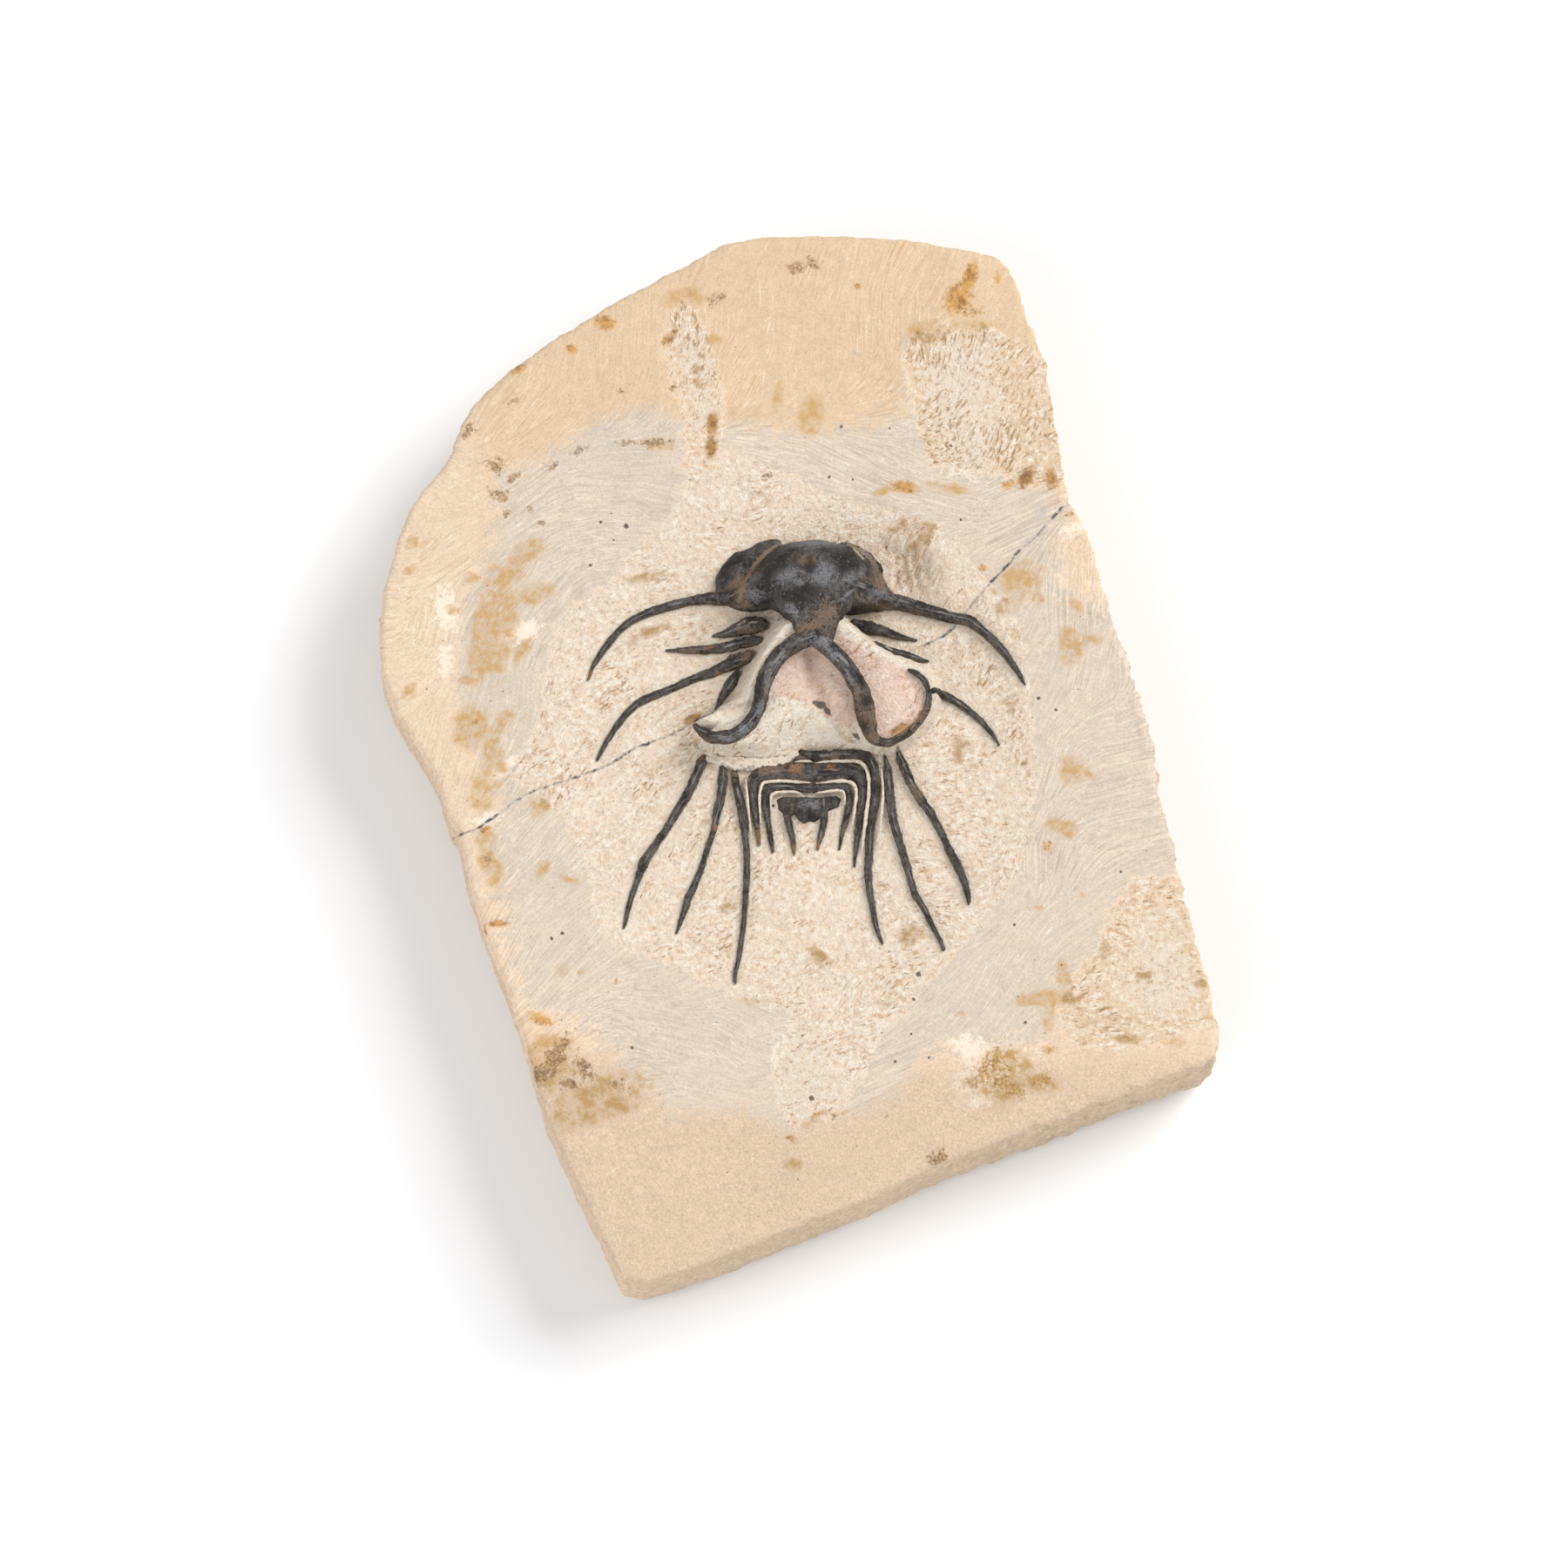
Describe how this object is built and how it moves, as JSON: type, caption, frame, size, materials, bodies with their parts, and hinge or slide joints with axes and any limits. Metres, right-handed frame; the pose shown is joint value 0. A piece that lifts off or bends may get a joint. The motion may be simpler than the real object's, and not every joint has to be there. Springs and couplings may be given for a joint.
{
  "type": "trilobite fossil",
  "caption": "Ram-horned spiny trilobite in dark calcite, prepared in relief on a thin, irregular slab of beige limestone with a glued crack; lies flat on its back face.",
  "frame": {"origin": "middle of the slab's flat back, on the surface that it lies on", "axes": "+X to the animal's right as seen from above with the head away, +Y along the animal from tail to head, +Z out of the worked face"},
  "size_m": [0.1267, 0.1642, 0.0269],
  "materials": {
    "matrix_limestone": "matt, sawn, ground and pecked beige limestone with brown iron stains",
    "fossil_calcite": "black-grey calcite with a dull satin surface, brown at some tips"
  },
  "bodies": {
    "root": {"matrix_slab": "matrix_limestone", "cephalon": "fossil_calcite", "pleura_left_1": "fossil_calcite", "pleura_left_2": "fossil_calcite", "pleura_left_3": "fossil_calcite", "pleura_left_4": "fossil_calcite", "pleura_right_1": "fossil_calcite", "pleura_right_2": "fossil_calcite", "pleura_right_3": "fossil_calcite", "trunk_spine_left_1": "fossil_calcite", "trunk_spine_left_2": "fossil_calcite", "trunk_spine_left_3": "fossil_calcite", "trunk_spine_right_1": "fossil_calcite", "trunk_spine_right_2": "fossil_calcite", "thorax_segment_7": "fossil_calcite", "thorax_segment_8": "fossil_calcite", "thorax_segment_9": "fossil_calcite", "pygidium": "fossil_calcite"}
  },
  "joints": []
}
